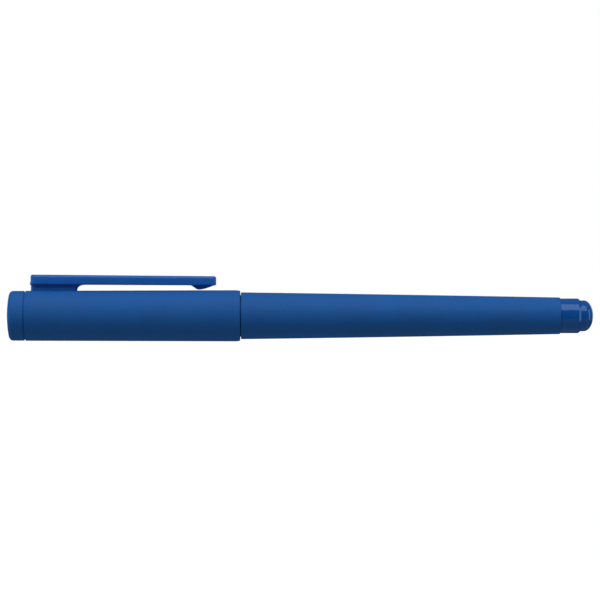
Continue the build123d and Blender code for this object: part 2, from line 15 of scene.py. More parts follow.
import bpy
import numpy as np
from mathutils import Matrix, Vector


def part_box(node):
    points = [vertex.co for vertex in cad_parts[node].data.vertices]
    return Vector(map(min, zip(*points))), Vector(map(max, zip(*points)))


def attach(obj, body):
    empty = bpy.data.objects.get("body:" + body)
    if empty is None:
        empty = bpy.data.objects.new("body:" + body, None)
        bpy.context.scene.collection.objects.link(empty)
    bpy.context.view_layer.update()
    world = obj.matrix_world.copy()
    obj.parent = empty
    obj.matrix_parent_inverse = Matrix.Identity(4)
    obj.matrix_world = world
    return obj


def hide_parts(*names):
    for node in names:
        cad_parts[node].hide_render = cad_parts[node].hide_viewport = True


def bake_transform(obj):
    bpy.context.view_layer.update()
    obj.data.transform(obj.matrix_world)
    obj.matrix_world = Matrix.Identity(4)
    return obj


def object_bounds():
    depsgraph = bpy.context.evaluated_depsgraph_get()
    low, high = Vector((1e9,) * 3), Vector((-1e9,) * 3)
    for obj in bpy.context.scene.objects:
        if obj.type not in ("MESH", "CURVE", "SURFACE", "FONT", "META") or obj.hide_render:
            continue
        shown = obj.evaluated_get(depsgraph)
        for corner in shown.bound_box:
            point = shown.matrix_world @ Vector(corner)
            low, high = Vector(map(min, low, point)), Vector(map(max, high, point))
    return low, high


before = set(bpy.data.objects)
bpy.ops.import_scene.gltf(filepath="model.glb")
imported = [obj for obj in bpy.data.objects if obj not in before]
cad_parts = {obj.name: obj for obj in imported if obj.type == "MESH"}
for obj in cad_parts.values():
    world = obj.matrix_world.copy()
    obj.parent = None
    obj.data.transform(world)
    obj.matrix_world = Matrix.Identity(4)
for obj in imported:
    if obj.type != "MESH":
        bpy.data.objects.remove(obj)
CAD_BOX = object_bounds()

MM = 0.001
LOG = logging.getLogger("pen")

LONGEST_RUN = 2.5  # the longest run of an outline that stays whole
SUPPORT = 0.05  # how far from a run's ends its extra rings stand
RUN_SHARE = 0.45  # how much of a run the rounding at one end may take
SMALL_ROUNDING = 0.4  # a rounding under this is made of ARC_STEPS parts, and a larger one of twice as many
ARC_STEPS = 5
STRAIGHT = math.pi / 2 - 0.001  # half a corner's angle, past which it counts as no corner
LEVEL = 1e-6  # a change of radius under this is none

Array = np.ndarray
Colour = tuple[float, float, float]


class Body(Enum):
    """The bodies of the frame that pieces ride on."""

    BARREL = "barrel"
    REFILL = "refill"
    BALL = "ball"
    SECTION = "section"
    CAP = "cap"
    CLIP = "clip"


class Slot(Enum):
    """The record's material slots. Nothing in this script reads them; new pieces take their finish from
    Finishes.
    """

    LACQUER = "soft_touch_lacquer"
    CLIP = "clip_lacquer"
    GLOSS = "gloss_blue"
    TRIM = "bright_trim"
    SPRING = "spring_steel"
    POINT = "point_metal"
    BALL = "ball_carbide"
    RUBBER = "black_rubber"


# ---- outlines and surfaces ----------------------------------------------------------------------


@dataclass(frozen=True)
class Corner:
    """One corner of an outline: its place along the axis, its radius and its rounding."""

    x: float
    r: float
    rounding: float = 0.0


def unit(vector: Array) -> Array:
    """A vector at length one."""
    return vector / max(float(np.linalg.norm(vector)), 1e-12)


def rounded_corner(before: Array, at: Array, after: Array, rounding: float, steps: int) -> Array:
    """The points that stand for one corner of an outline.

    The arc of that radius touches both runs at rounding / tan(half the corner's angle) from the
    corner, and its points are its centre plus the radius along directions turned evenly from one
    touching point to the other.

    Args:
        before: the corner before, as (x, r).
        at: the corner itself.
        after: the corner after.
        rounding: the arc's radius, or 0 for a sharp corner.
        steps: how many parts the arc has.

    Returns:
        The points, as an (n, 2) array.
    """
    back, ahead = unit(before - at), unit(after - at)
    half = math.acos(float(np.clip(back @ ahead, -1, 1))) / 2
    if rounding <= 0 or half > STRAIGHT:
        return at[None, :]
    room = RUN_SHARE * min(np.linalg.norm(before - at), np.linalg.norm(after - at))
    reach = min(rounding / math.tan(half), room)
    radius = reach * math.tan(half)
    centre = at + unit(back + ahead) * radius / math.sin(half)
    first, last = (at + back * reach - centre) / radius, (at + ahead * reach - centre) / radius
    whole = math.acos(float(np.clip(first @ last, -1, 1)))
    turn = np.linspace(0, 1, steps + 1)[:, None] * whole
    arc = (np.sin(whole - turn) * first + np.sin(turn) * last) / math.sin(whole)
    return centre + radius * arc


def divided(points: Array, longest: float, closed: bool) -> Array:
    """An outline with its long runs divided, and a ring close to each end of a run.

    Args:
        points: the outline, (n, 2).
        longest: the longest run that stays whole.
        closed: whether the last point joins the first.

    Returns:
        The outline with the new points, (m, 2).
    """
    ends = np.vstack([points, points[:1]]) if closed else points
    pieces = []
    for start, stop in zip(ends[:-1], ends[1:]):
        length = float(np.linalg.norm(stop - start))
        count = max(1, math.ceil(length / longest))
        shares = np.linspace(0, 1, count + 1)[:-1]
        if length > 4 * SUPPORT:
            shares = np.unique(np.concatenate([shares, [SUPPORT / length, 1 - SUPPORT / length]]))
        pieces.append(start + shares[:, None] * (stop - start))
    return np.vstack(pieces + ([] if closed else [ends[-1:]]))


def outline(corners: Sequence[Corner], closed: bool = True, longest: float = LONGEST_RUN) -> Array:
    """The outline that a row of corners makes, each rounded by its own radius.

    Args:
        corners: the corners in order.
        closed: whether the last corner joins the first; an open outline starts and ends on the axis.
        longest: the longest run that stays whole.

    Returns:
        Points as (x, r), an (n, 2) array.
    """
    spots = np.array([(c.x, c.r) for c in corners], float)
    parts = []
    for i, corner in enumerate(corners):
        if not closed and i in (0, len(corners) - 1):
            parts.append(spots[i][None, :])
            continue
        after = spots[(i + 1) % len(corners)]
        steps = ARC_STEPS if corner.rounding < SMALL_ROUNDING else 2 * ARC_STEPS
        parts.append(rounded_corner(spots[i - 1], spots[i], after, corner.rounding, steps))
    return divided(np.vstack(parts), longest, closed)


def through(places: Array, radii: Array) -> list[Corner]:
    """Unrounded corners through a row of places and radii."""
    return [Corner(float(x), float(r)) for x, r in zip(places, radii)]


def curve(start: float, stop: float, steps: int, radius: Callable[[Array], Array]) -> list[Corner]:
    """Corners along a smooth stretch, where the radius is a formula of the place.

    Args:
        start: the first place along the axis.
        stop: the last place.
        steps: how many parts the stretch has.
        radius: the formula, from places to radii.

    Returns:
        The corners, unrounded.
    """
    places = np.linspace(start, stop, steps + 1)
    return through(places, radius(places))


def grid_faces(rows: int, columns: int, wrap: bool) -> Array:
    """The quads of a grid of points whose columns close on themselves.

    Args:
        rows: how many rows of points there are.
        columns: how many points a row has.
        wrap: whether the last row joins the first.

    Returns:
        Corner numbers, (n, 4).
    """
    row = np.arange(rows if wrap else rows - 1)[:, None]
    column = np.arange(columns)[None, :]
    after, beside = (row + 1) % rows, (column + 1) % columns
    here, there = row * columns, after * columns
    return np.stack([here + column, here + beside, there + beside, there + column], axis=-1).reshape(-1, 4)


def make_piece(
    name: str, points: Array, quads: Array, fans: Sequence[tuple[int, Array]] = ()
) -> bpy.types.Object:
    """A closed mesh object, with its faces turned outwards.

    The volume under each face, summed, is positive when the faces point outwards, and the faces are
    turned round when it isn't.

    Args:
        name: the piece's name.
        points: its points in millimetres, (n, 3).
        quads: the quads' corner numbers, (m, 4).
        fans: each end's middle point and the ring round it, in the grid's own order.

    Returns:
        The object, at the origin, linked to the scene.
    """
    faces = quads.tolist()
    for middle, ring in fans:
        ahead = np.roll(ring, -1)
        faces += np.stack([np.full_like(ring, middle), ring, ahead], axis=-1).tolist()
    first = points[quads[:, 0]]
    under = np.einsum("ij,ij->i", first, np.cross(points[quads[:, 1]], points[quads[:, 2]]))
    under += np.einsum("ij,ij->i", first, np.cross(points[quads[:, 2]], points[quads[:, 3]]))
    if under.sum() < 0:
        faces = [face[::-1] for face in faces]
    mesh = bpy.data.meshes.new(name)
    mesh.from_pydata((points * MM).tolist(), [], faces)
    mesh.validate()
    piece = bpy.data.objects.new(name, mesh)
    bpy.context.scene.collection.objects.link(piece)
    smooth(piece)
    return piece


def smooth(piece: bpy.types.Object, angle: float = 32.0) -> None:
    """Shades a piece smooth, with creases at its sharp edges.

    Args:
        piece: the piece.
        angle: how far two faces may turn from each other without a crease, in degrees.
    """
    mesh = piece.data
    mesh.polygons.foreach_set("use_smooth", np.ones(len(mesh.polygons), bool))
    mesh.set_sharp_from_angle(angle=math.radians(angle))
    mesh.update()


def lathe(
    name: str,
    profile: Array,
    closed: bool = True,
    segments: int = 160,
    raise_by: Callable[[Array, Array], Array] | None = None,
) -> bpy.types.Object:
    """A piece turned about the pen's axis.

    A point at place x and radius r goes to (x, r cos a, r sin a) for each angle a of an even round.

    Args:
        name: the piece's name.
        profile: its outline as (x, r). A closed one makes a tube, an open one a solid with poles.
        closed: whether the outline closes on itself.
        segments: how many parts the round has.
        raise_by: a formula of place and angle for what is added to the radius.

    Returns:
        The piece.
    """
    angles = np.arange(segments) * 2 * np.pi / segments
    poles = [] if closed else [profile[0], profile[-1]]
    rows = profile if closed else profile[1:-1]
    x, r = rows[:, :1] + 0 * angles, rows[:, 1:] + 0 * angles
    if raise_by is not None:
        r = r + raise_by(x, angles[None, :] + 0 * x) * raised_rows(rows)[:, None]
    points = np.stack([x, r * np.cos(angles), r * np.sin(angles)], axis=-1).reshape(-1, 3)
    quads = grid_faces(len(rows), segments, wrap=closed)
    fans = []
    for pole, ring, way in zip(poles, (0, len(rows) - 1), (-1, 1)):
        fans.append((len(points), (ring * segments + np.arange(segments))[::way]))
        points = np.vstack([points, [[pole[0], 0, 0]]])
    return make_piece(name, points, quads, fans)


def raised_rows(rows: Array) -> Array:
    """One for each row of an outline that runs level, where a thread may stand, and nought elsewhere."""
    level = np.abs(np.gradient(rows[:, 1])) < LEVEL
    return level.astype(float)


def ease(value: Array) -> Array:
    """A smooth step from 0 to 1: three times the square less twice the cube."""
    inside = np.clip(value, 0, 1)
    return inside * inside * (3 - 2 * inside)


def quarter_inset(into: Array, radius: float) -> Array:
    """How far a rounded end draws in: the radius less the height of a quarter circle at that place.

    Args:
        into: how far each place is from the end.
        radius: the quarter circle's radius.

    Returns:
        The inset at each place, which is 0 past the radius.
    """
    left = radius - np.clip(into, 0, radius)
    return radius - np.sqrt(radius**2 - left**2)


def rounded_sections(
    x: Array, half: Array, low: Array, high: Array, top: Array, bottom: Array, steps: int = 6
) -> Array:
    """Upright rounded rectangles, one at each place along the axis.

    Each corner's arc is its centre plus its radius times (cos, sin) of an angle that turns through a
    quarter round.

    Args:
        x: the places, (n,).
        half: half the width at each.
        low: the height of the underside at each.
        high: the height of the top at each.
        top: the upper corners' radius at each.
        bottom: the lower corners' radius at each.
        steps: how many parts a corner has.

    Returns:
        Points, (n, 4 * (steps + 1), 3).
    """
    quarter = np.linspace(0, np.pi / 2, steps + 1)
    sides = ((1, 1, top, 0.0), (-1, 1, top, 0.5), (-1, -1, bottom, 1.0), (1, -1, bottom, 1.5))
    parts = []
    for side, up, radius, turn in sides:
        middle_y = side * (half - radius)
        middle_z = high - radius if up > 0 else low + radius
        angle = quarter + turn * np.pi
        y = middle_y[:, None] + radius[:, None] * np.cos(angle)
        z = middle_z[:, None] + radius[:, None] * np.sin(angle)
        parts.append(np.stack([x[:, None] + 0 * y, y, z], axis=-1))
    return np.concatenate(parts, axis=1)


def loft(name: str, sections: Array) -> bpy.types.Object:
    """A closed piece through a row of rings, with a fan over each end.

    Args:
        name: the piece's name.
        sections: the rings' points, (rings, points in a ring, 3).

    Returns:
        The piece.
    """
    rings, count = sections.shape[:2]
    points = np.vstack([sections.reshape(-1, 3), sections[0].mean(0)[None], sections[-1].mean(0)[None]])
    first, last = np.arange(count), (rings - 1) * count + np.arange(count)
    fans = [(rings * count, first[::-1]), (rings * count + 1, last)]
    return make_piece(name, points, grid_faces(rings, count, wrap=False), fans)


def tube(name: str, path: Array, radius: float, segments: int = 20) -> bpy.types.Object:
    """A round wire along a path about the pen's axis.

    Each ring stands across the path: its two directions are the outward direction from the axis, made
    square to the path, and the product of the two.

    Args:
        name: the piece's name.
        path: the wire's middle line, (n, 3).
        radius: the wire's radius.
        segments: how many parts its round has.

    Returns:
        The piece.
    """
    along = np.gradient(path, axis=0)
    along /= np.linalg.norm(along, axis=1, keepdims=True)
    out = path * (0, 1, 1)
    out -= along * np.einsum("ij,ij->i", out, along)[:, None]
    out /= np.linalg.norm(out, axis=1, keepdims=True)
    over = np.cross(along, out)
    angle = np.arange(segments) * 2 * np.pi / segments
    rings = path[:, None] + radius * (
        out[:, None] * np.cos(angle)[None, :, None] + over[:, None] * np.sin(angle)[None, :, None]
    )
    return loft(name, rings)


def united(pieces: Sequence[bpy.types.Object]) -> bpy.types.Object:
    """The first piece joined with the others into one closed skin.

    Args:
        pieces: closed pieces that overlap.

    Returns:
        The first piece, with the joined mesh. The others are removed.
    """
    whole = pieces[0]
    for other in pieces[1:]:
        cut = whole.modifiers.new("union", "BOOLEAN")
        cut.operation, cut.solver, cut.object = "UNION", "EXACT", other
        graph = bpy.context.evaluated_depsgraph_get()
        joined = bpy.data.meshes.new_from_object(whole.evaluated_get(graph))
        whole.modifiers.clear()
        whole.data = joined
        bpy.data.objects.remove(other)
    smooth(whole)
    return whole


# ---- finishes -----------------------------------------------------------------------------------


def linear(colour: Colour) -> Colour:
    """A colour as light, with the display curve undone.

    Each share of 255 is divided by 12.92 when it is small, and else goes up with the power 2.4.

    Args:
        colour: display values from 0 to 255.

    Returns:
        The same colour's light, from 0 to 1.
    """
    values = np.array(colour) / 255
    light = np.where(values <= 0.04045, values / 12.92, ((values + 0.055) / 1.055) ** 2.4)
    return tuple(float(v) for v in light)


class Nodes:
    """A material while its nodes are being placed, with a short call for each kind that is used."""

    def __init__(self, name: str) -> None:
        """Starts a material.

        Args:
            name: its name.
        """
        self.material = bpy.data.materials.new(name)
        self.material.use_nodes = True
        self.tree = self.material.node_tree
        self.shader = self.tree.nodes["Principled BSDF"]

    def add(self, kind: str, inputs: dict[str, object] | None = None, **settings: object) -> bpy.types.Node:
        """One node, with its settings and its sockets' values or links.

        Args:
            kind: the node's type name, without its ShaderNode prefix.
            inputs: values, or sockets to link from, by socket name.
            **settings: the node's own properties.

        Returns:
            The node.
        """
        node = self.tree.nodes.new("ShaderNode" + kind)
        for key, value in settings.items():
            setattr(node, key, value)
        for key, value in (inputs or {}).items():
            self.feed(node.inputs[key], value)
        return node

    def feed(self, socket: bpy.types.NodeSocket, value: object) -> None:
        """Links a socket, or sets its value.

        Args:
            socket: the socket.
            value: another node's output to link from, or a plain value.
        """
        if isinstance(value, bpy.types.NodeSocket):
            self.tree.links.new(value, socket)
        else:
            socket.default_value = value

    def place(self, stretch: tuple[float, float, float] = (1, 1, 1)) -> bpy.types.NodeSocket:
        """The point on the piece in millimetres.

        Args:
            stretch: what its three coordinates are multiplied by.

        Returns:
            The socket that gives it.
        """
        spot = self.add("TexCoord").outputs["Object"]
        scale = tuple(s / MM for s in stretch)
        return self.add("Mapping", {"Vector": spot, "Scale": scale}).outputs["Vector"]

    def noise(self, where: bpy.types.NodeSocket, scale: float, detail: float = 3.0) -> bpy.types.NodeSocket:
        """Soft noise about one half, with that many waves to a millimetre."""
        inputs = {"Vector": where, "Scale": scale, "Detail": detail, "Roughness": 0.55}
        return self.add("TexNoise", inputs).outputs["Fac"]

    def between(
        self, value: bpy.types.NodeSocket, low: float, high: float, to_low: float, to_high: float
    ) -> bpy.types.NodeSocket:
        """A value mapped from one range to another, held at its ends."""
        inputs = {"Value": value, "From Min": low, "From Max": high, "To Min": to_low, "To Max": to_high}
        return self.add("MapRange", inputs, interpolation_type="SMOOTHSTEP").outputs["Result"]

    def maths(self, operation: str, first: object, second: object = 0.0) -> bpy.types.NodeSocket:
        """Two numbers joined by one sum.

        Args:
            operation: the Math node's operation.
            first: the first number or socket.
            second: the second.

        Returns:
            The socket that gives the result.
        """
        node = self.add("Math", operation=operation)
        self.feed(node.inputs[0], first)
        self.feed(node.inputs[1], second)
        return node.outputs["Value"]

    def blend(self, factor: object, first: object, second: object) -> bpy.types.NodeSocket:
        """One colour fading into another.

        Args:
            factor: how far it has faded, from 0 to 1.
            first: the colour or socket at 0.
            second: the colour or socket at 1.

        Returns:
            The socket that gives the colour.
        """
        node = self.add("Mix", data_type="RGBA")
        self.feed(node.inputs["Factor"], factor)
        for socket, value in zip((node.inputs[6], node.inputs[7]), (first, second)):
            self.feed(socket, value if isinstance(value, bpy.types.NodeSocket) else (*value, 1.0))
        return node.outputs[2]

    def bump(self, height: bpy.types.NodeSocket, depth: float) -> None:
        """Relief on the surface.

        Args:
            height: the socket that gives its height, from 0 to 1.
            depth: how deep it is at its full height, in millimetres.
        """
        inputs = {"Height": height, "Strength": 1.0, "Distance": depth * MM}
        normal = self.add("Bump", inputs).outputs["Normal"]
        self.feed(self.shader.inputs["Normal"], normal)

    def surface(self, **values: object) -> None:
        """Sets the shader's sockets.

        Args:
            **values: numbers, colours or sockets, by the shader's socket name with each space as an
                underscore.
        """
        for key, value in values.items():
            socket = self.shader.inputs[key.replace("_", " ")]
            if isinstance(value, tuple) and len(value) == 3:
                value = (*value, 1.0)
            self.feed(socket, value)


@dataclass(frozen=True)
class Lacquer:
    """Satin lacquer over metal: a fine pebbled skin, with softer and tighter patches."""

    name: str
    colour: Colour
    roughness: float = 0.72
    grain: float = 9.0
    pebble: float = 3.15
    depth: float = 0.003
    darkest: float = 0.96
    palest: float = 1.05
    haze: float = 0.001

    def material(self) -> bpy.types.Material:
        """Builds the material.

        Returns:
            The material.
        """
        n = Nodes(self.name)
        spot = n.place()
        patches = n.noise(spot, 0.12, 4.0)
        grain = n.noise(spot, self.grain, 2.0)
        pebble = n.noise(spot, self.pebble, 2.0)
        base = linear(self.colour)
        deep = tuple(c * self.darkest for c in base)
        pale = tuple(c * self.palest + self.haze for c in base)
        tone = n.blend(n.between(patches, 0.35, 0.65, 0.0, 1.0), deep, pale)
        speck = n.blend(n.between(grain, 0.30, 0.70, 0.0, 0.35), tone, pale)
        patchy = n.maths("ADD", n.between(patches, 0.3, 0.7, -0.03, 0.03), self.roughness)
        rough = n.maths("ADD", patchy, n.between(grain, 0.3, 0.7, -0.02, 0.02))
        n.bump(n.maths("ADD", grain, n.maths("MULTIPLY", pebble, 0.6)), self.depth)
        n.surface(Base_Color=speck, Roughness=rough, IOR=1.5)
        return n.material


@dataclass(frozen=True)
class Moulding:
    """Polished or satin moulded plastic, with faint flow marks and small scuffs."""

    name: str
    colour: Colour
    roughness: float = 0.15
    depth: float = 0.0008
    wave: float = 0.35
    darkest: float = 0.93
    see_through: float = 0.0

    def material(self) -> bpy.types.Material:
        """Builds the material.

        Returns:
            The material.
        """
        n = Nodes(self.name)
        flow = n.noise(n.place((0.25, 1.0, 1.0)), self.wave, 2.0)
        scuffs = n.noise(n.place((6.0, 1.0, 1.0)), 1.4, 5.0)
        grain = n.noise(n.place(), 14.0, 2.0)
        base = linear(self.colour)
        deep = tuple(c * self.darkest for c in base)
        tone = n.blend(n.between(flow, 0.3, 0.7, 0.0, 1.0), deep, base)
        rough = n.maths("ADD", n.between(scuffs, 0.55, 0.75, 0.0, 0.03), self.roughness)
        n.bump(n.maths("ADD", n.maths("MULTIPLY", flow, 2.0), n.maths("MULTIPLY", grain, 0.15)), self.depth)
        n.surface(Base_Color=tone, Roughness=rough, IOR=1.5, Transmission_Weight=self.see_through)
        return n.material


@dataclass(frozen=True)
class Turned:
    """Metal turned on a lathe: fine rings round the axis, and a little tarnish."""

    name: str
    colour: Colour
    roughness: float = 0.2
    rings: float = 12.0
    depth: float = 0.0015
    tarnished: float = 0.82

    def material(self) -> bpy.types.Material:
        """Builds the material.

        Returns:
            The material.
        """
        n = Nodes(self.name)
        rings = n.noise(n.place((1.0, 0.02, 0.02)), self.rings, 3.0)
        tarnish = n.noise(n.place(), 0.8, 4.0)
        base = linear(self.colour)
        dull = tuple(c * self.tarnished for c in base)
        tone = n.blend(n.between(tarnish, 0.35, 0.7, 0.0, 1.0), base, dull)
        n.bump(rings, self.depth)
        rough = n.maths("ADD", n.between(tarnish, 0.3, 0.7, -0.03, 0.05), self.roughness)
        n.surface(Base_Color=tone, Roughness=rough, Metallic=1.0)
        return n.material


@dataclass(frozen=True)
class Rubber:
    """Moulded rubber: dull, a little dusty, with a fine tooth."""

    name: str
    colour: Colour
    depth: float = 0.004
    dust: float = 0.03

    def material(self) -> bpy.types.Material:
        """Builds the material.

        Returns:
            The material.
        """
        n = Nodes(self.name)
        tooth = n.noise(n.place(), 11.0, 3.0)
        dust = n.noise(n.place(), 1.1, 4.0)
        base = linear(self.colour)
        tone = n.blend(n.between(dust, 0.5, 0.8, 0.0, 0.5), base, tuple(c + self.dust for c in base))
        n.bump(tooth, self.depth)
        n.surface(Base_Color=tone, Roughness=n.between(dust, 0.3, 0.7, 0.5, 0.68), IOR=1.5)
        return n.material


@dataclass(frozen=True)
class Fibre:
    """Bundled fibre soaked with ink: long threads along the axis, unevenly wetted."""

    name: str
    dry: Colour
    wet: Colour
    depth: float = 0.02

    def material(self) -> bpy.types.Material:
        """Builds the material.

        Returns:
            The material.
        """
        n = Nodes(self.name)
        threads = n.noise(n.place((0.05, 1.0, 1.0)), 6.0, 3.0)
        wetting = n.noise(n.place((0.3, 1.0, 1.0)), 0.3, 3.0)
        tone = n.blend(n.between(wetting, 0.3, 0.7, 0.3, 1.0), linear(self.dry), linear(self.wet))
        n.bump(threads, self.depth)
        n.surface(Base_Color=tone, Roughness=n.between(threads, 0.3, 0.7, 0.55, 0.85))
        return n.material


@dataclass(frozen=True)
class Finishes:
    """Every finish of the pen, each made once."""

    body: bpy.types.Material
    clip: bpy.types.Material
    gloss: bpy.types.Material
    bright: bpy.types.Material
    brass: bpy.types.Material
    steel: bpy.types.Material
    point: bpy.types.Material
    ball: bpy.types.Material
    rubber: bpy.types.Material
    white: bpy.types.Material
    black: bpy.types.Material
    tube: bpy.types.Material
    fibre: bpy.types.Material

    @classmethod
    def made(cls) -> Finishes:
        """Makes them all."""
        return cls(
            body=Lacquer("soft_touch_lacquer", (24, 101, 172)).material(),
            clip=Lacquer("clip_lacquer", (34, 112, 196), roughness=0.4).material(),
            gloss=Moulding("polished_blue", (13, 96, 173)).material(),
            bright=Turned("bright_plate", (222, 223, 226), roughness=0.1, depth=0.0006).material(),
            brass=Turned("turned_brass", (214, 176, 104), roughness=0.22).material(),
            steel=Turned("turned_steel", (176, 178, 182), roughness=0.26).material(),
            point=Turned("nickel_silver", (206, 203, 190), roughness=0.18, rings=25.0).material(),
            ball=Turned("polished_carbide", (120, 122, 126), roughness=0.08, depth=0.0002).material(),
            rubber=Rubber("black_rubber", (26, 26, 27)).material(),
            white=Moulding("white_plastic", (228, 228, 224), roughness=0.35).material(),
            black=Moulding("black_plastic", (24, 24, 27), roughness=0.35).material(),
            tube=Moulding("clouded_tube", (205, 212, 218), roughness=0.2, see_through=0.25).material(),
            fibre=Fibre("inked_fibre", (120, 130, 180), (18, 28, 92)).material(),
        )


# ---- sub-assemblies -----------------------------------------------------------------------------


def low(node: str, axis: int = 0) -> float:
    """A CAD node's lowest place along an axis, in millimetres."""
    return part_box(node)[0][axis] / MM


def high(node: str, axis: int = 0) -> float:
    """A CAD node's highest place along an axis, in millimetres."""
    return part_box(node)[1][axis] / MM


def dress(piece: bpy.types.Object, material: bpy.types.Material) -> None:
    """Gives a whole piece one material."""
    piece.data.materials.clear()
    piece.data.materials.append(material)


def stand_for(piece: bpy.types.Object, node: str, material: bpy.types.Material) -> None:
    """Dresses a new piece and lets it stand for its CAD node.

    Args:
        piece: the piece.
        node: the CAD node that it stands for.
        material: its finish.
    """
    dress(piece, material)
    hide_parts(node)
    LOG.info("%s: %d faces for %s", piece.name, len(piece.data.polygons), node)


def settle(
    piece: bpy.types.Object, body: Body, node: str, material: bpy.types.Material
) -> None:
    """Puts a new piece on the body that it moves with, and lets it stand for its CAD node."""
    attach(piece, body.value)
    stand_for(piece, node, material)


def bend(piece: bpy.types.Object) -> None:
    """Bakes a piece's placement into its mesh, so that it stands at the origin.

    Args:
        piece: the piece.
    """
    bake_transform(piece)


def dress_node(node: str, material: bpy.types.Material) -> None:
    """Gives a CAD node that keeps its own shape a better material.

    Args:
        node: the node's name.
        material: its finish.
    """
    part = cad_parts[node]
    for place in part.material_slots:
        place.material = material
    LOG.info("%s: kept from the frame", node)


@dataclass
class Cap:
    """The cap: its shell, crown and liner, and the carrier, pin and screw that hold the clip."""

    finishes: Finishes
    top_radius: float = 5.98
    mouth_radius: float = 6.114
    bore: float = 5.1
    bevel_length: float = 1.0
    bevel_depth: float = 0.12
    lip_chamfer: float = 0.15
    crown_radius: float = 5.95
    crown_dome: float = 0.62
    dome_rings: int = 12
    dome_margin: float = 0.2
    crown_edge: float = 1.7
    groove_width: float = 0.3
    groove_depth: float = 0.3
    boss_radius: float = 1.9
    screw_radius: float = 1.0

    def radius(self, x: Array | float) -> Array | float:
        """The shell's outer radius, which grows evenly from its top to its bevel."""
        start, stop = low("cap_shell"), high("cap_shell") - self.bevel_length
        return self.top_radius + (x - start) / (stop - start) * (self.mouth_radius - self.top_radius)

    def shell(self) -> None:
        """The tube, with its broken top edge and the bevel and lip at its mouth."""
        start, stop = low("cap_shell"), high("cap_shell")
        corners = [
            Corner(start, self.bore, 0.05),
            Corner(start, self.top_radius, 0.12),
            Corner(stop - self.bevel_length, self.mouth_radius, 1.2),
            Corner(stop, self.mouth_radius - self.bevel_depth, 0.22),
            Corner(stop, self.bore + self.lip_chamfer, 0.06),
            Corner(stop - self.lip_chamfer, self.bore, 0.06),
        ]
        piece = lathe("cap_tube", outline(corners), segments=192)
        settle(piece, Body.CAP, "cap_shell", self.finishes.body)

    def crown(self) -> None:
        """The plug: a shallow dome, a full rounding, the groove and the spigot in the shell.

        The dome is part of a sphere whose radius is the sum of the squares of the crown's radius and
        the dome's height, over twice the height.
        """
        start = low("cap_crown")
        shell_start = low("cap_shell")
        neck = shell_start - self.groove_width
        spigot_end = low("clip_carrier")
        boss_end = high("cap_crown")
        screw_tip = low("crown_screw")
        sphere = (self.crown_radius**2 + self.crown_dome**2) / (2 * self.crown_dome)
        rise = np.linspace(0, self.crown_radius - self.crown_edge - self.dome_margin, self.dome_rings)
        dome = start + sphere - np.sqrt(sphere**2 - rise**2)
        corners = through(dome, rise)
        edge_x = start + sphere - math.sqrt(sphere**2 - self.crown_radius**2)
        corners += [
            Corner(edge_x, self.crown_radius, self.crown_edge),
            Corner(neck, self.crown_radius, 0.12),
            Corner(neck, self.crown_radius - self.groove_depth, 0.04),
            Corner(shell_start, self.crown_radius - self.groove_depth, 0.0),
            Corner(shell_start, self.bore, 0.0),
            Corner(spigot_end, self.bore, 0.15),
            Corner(spigot_end, self.boss_radius, 0.1),
            Corner(boss_end, self.boss_radius, 0.15),
            Corner(boss_end, self.screw_radius, 0.05),
            Corner(screw_tip, self.screw_radius, 0.05),
            Corner(screw_tip, 0.0),
        ]
        piece = lathe("crown_plug", outline(corners, closed=False), closed=False, segments=192)
        settle(piece, Body.CAP, "cap_crown", self.finishes.body)

    def inner_parts(self) -> None:
        """The parts inside, which keep their CAD shape."""
        dress_node("inner_cap", self.finishes.white)
        dress_node("clip_carrier", self.finishes.black)
        dress_node("clip_pin", self.finishes.steel)
        dress_node("crown_screw", self.finishes.steel)

    def build(self) -> None:
        """Builds and dresses the cap."""
        self.shell()
        self.crown()
        self.inner_parts()


